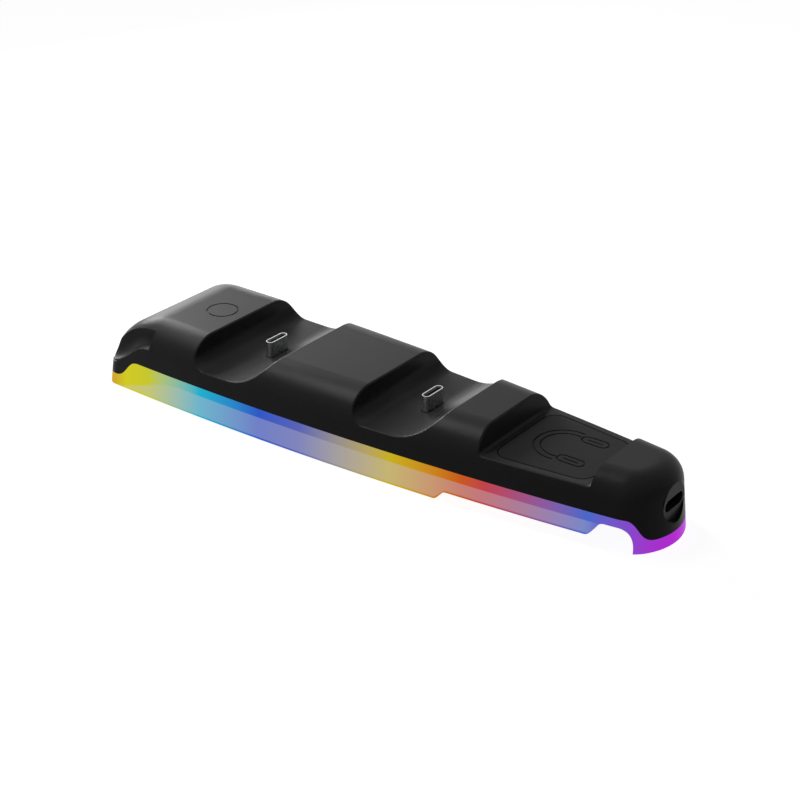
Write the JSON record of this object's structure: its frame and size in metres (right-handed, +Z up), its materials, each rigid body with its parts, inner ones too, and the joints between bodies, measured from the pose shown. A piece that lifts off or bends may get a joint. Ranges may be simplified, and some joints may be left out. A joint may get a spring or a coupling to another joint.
{
  "type": "controller charging dock",
  "caption": "Long low charging dock with cradles for hand controllers, a headset tray, a rounded end hump with power inlet, and a light skirt round its foot.",
  "frame": {"origin": "on the table, half way along the dock and on its plane of symmetry", "axes": "+X along the dock towards the power inlet, +Y to the rear, +Z up"},
  "size_m": [0.1877, 0.0506, 0.023],
  "materials": {
    "shell": "matt black moulded plastic with a fine grain",
    "skirt": "milky light-guide plastic",
    "pad": "matt black soft plastic",
    "plug_steel": "drawn steel",
    "contact_carrier": "black plastic",
    "holder": "black plastic",
    "base": "matt black moulded plastic",
    "board": "green board",
    "ribbon": "flat film lead",
    "chip": "black moulded package",
    "inductor": "grey ferrite",
    "capacitor": "tan ceramic",
    "lamp": "white lamp package",
    "screw_steel": "zinc plated",
    "foot_rubber": "black rubber"
  },
  "bodies": {
    "root": {"top_shell": "shell", "light_skirt": "skirt", "headset_pad": "pad", "left_plug_shell": "plug_steel", "right_plug_shell": "plug_steel", "left_plug_insert": "contact_carrier", "right_plug_insert": "contact_carrier", "left_plug_holder": "holder", "right_plug_holder": "holder", "inlet_shell": "plug_steel", "inlet_tongue": "contact_carrier", "base_plate": "base", "main_board": "board", "inlet_board": "board", "power_ribbon": "ribbon", "charge_chip": "chip", "light_chip": "chip", "power_inductor": "inductor", "board_capacitors": "capacitor", "front_led_strip": "board", "rear_led_strip": "board", "front_leds": "lamp", "rear_leds": "lamp", "board_screws": "screw_steel", "case_screws": "screw_steel", "rubber_feet": "foot_rubber"}
  },
  "joints": []
}
